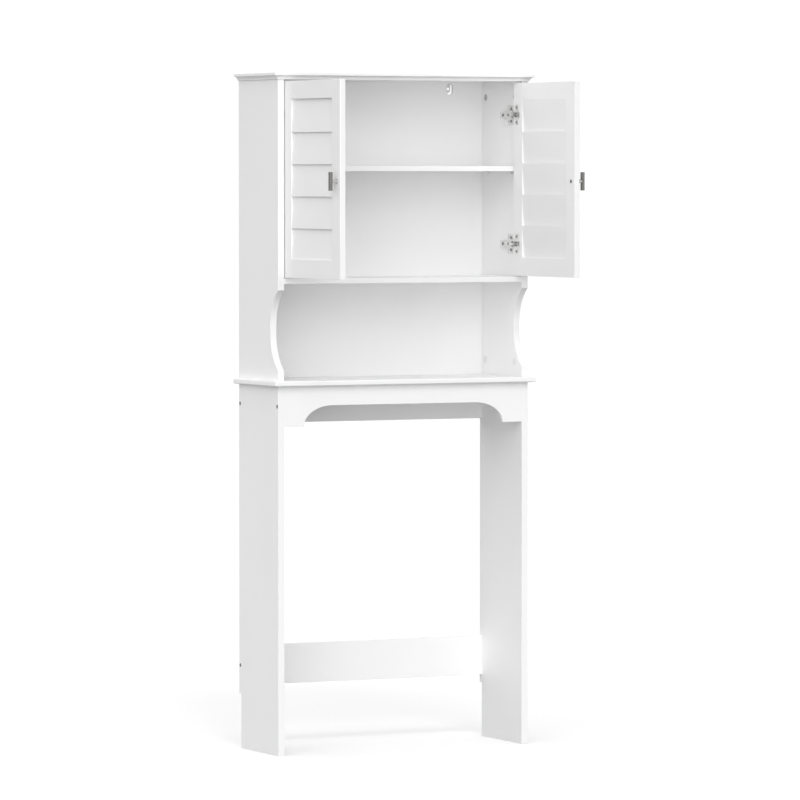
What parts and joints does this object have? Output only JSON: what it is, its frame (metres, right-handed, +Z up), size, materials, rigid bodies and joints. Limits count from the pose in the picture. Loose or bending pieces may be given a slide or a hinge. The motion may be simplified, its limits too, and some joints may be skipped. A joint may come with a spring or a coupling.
{
  "type": "over-the-toilet storage rack",
  "caption": "Tall white bathroom rack that straddles a toilet, with a louvred two-door cabinet, an open niche and a table frame with an arched apron.",
  "frame": {"origin": "on the floor, in the middle of the plan of the rack with both doors standing open at 90 degrees", "axes": "+Z up, the front looks along -Y, +X to the right seen from the front"},
  "size_m": [0.654, 0.4946, 1.524],
  "materials": {
    "white_board": "satin white paint on fibreboard",
    "nickel_steel": "nickel-plated steel",
    "dark_nickel": "dark brushed nickel",
    "zinc": "die-cast zinc",
    "beech": "plain beech dowel",
    "cap_plastic": "white moulded plastic"
  },
  "bodies": {
    "cabinet": {"top_board": "white_board", "left_side": "white_board", "right_side": "white_board", "back_panel": "white_board", "cabinet_floor": "white_board", "shelf": "white_board", "shelf_pins": "cap_plastic", "tabletop": "white_board", "left_leg": "white_board", "right_leg": "white_board", "apron": "white_board", "rear_rail": "white_board", "lower_stretcher": "white_board", "rail_screws": "nickel_steel", "cam_locks": "zinc", "cam_bolts": "nickel_steel", "cam_caps": "cap_plastic", "floor_cams": "zinc", "floor_cam_bolts": "nickel_steel", "panel_dowels": "beech", "rail_dowels": "beech", "wall_plates": "nickel_steel", "wall_plate_screws": "nickel_steel", "left_hinge_plates": "nickel_steel", "right_hinge_plates": "nickel_steel", "left_hinge_arms": "nickel_steel", "right_hinge_arms": "nickel_steel", "hinge_plate_screws": "nickel_steel", "hinge_adjusters": "nickel_steel"},
    "left_door": {"left_hinge_stile": "white_board", "left_free_stile": "white_board", "left_top_rail": "white_board", "left_bottom_rail": "white_board", "left_slat_1": "white_board", "left_slat_2": "white_board", "left_slat_3": "white_board", "left_slat_4": "white_board", "left_slat_5": "white_board", "left_hinge_cups": "nickel_steel", "left_hinge_pins": "nickel_steel", "left_cup_screws": "nickel_steel", "left_handle": "dark_nickel", "left_handle_post": "nickel_steel", "left_handle_screw": "nickel_steel"},
    "right_door": {"right_hinge_stile": "white_board", "right_free_stile": "white_board", "right_top_rail": "white_board", "right_bottom_rail": "white_board", "right_slat_1": "white_board", "right_slat_2": "white_board", "right_slat_3": "white_board", "right_slat_4": "white_board", "right_slat_5": "white_board", "right_hinge_cups": "nickel_steel", "right_hinge_pins": "nickel_steel", "right_cup_screws": "nickel_steel", "right_handle": "dark_nickel", "right_handle_post": "nickel_steel", "right_handle_screw": "nickel_steel"}
  },
  "joints": [
    {"name": "left_door_hinge", "type": "hinge", "parent": "cabinet", "child": "left_door", "pos_m": [-0.29, 0.0417, 1.2865], "axis": [0, 0, 1], "range_deg": [-3, 90]},
    {"name": "right_door_hinge", "type": "hinge", "parent": "cabinet", "child": "right_door", "pos_m": [0.29, 0.0417, 1.2865], "axis": [0, 0, -1], "range_deg": [-3, 90]}
  ]
}
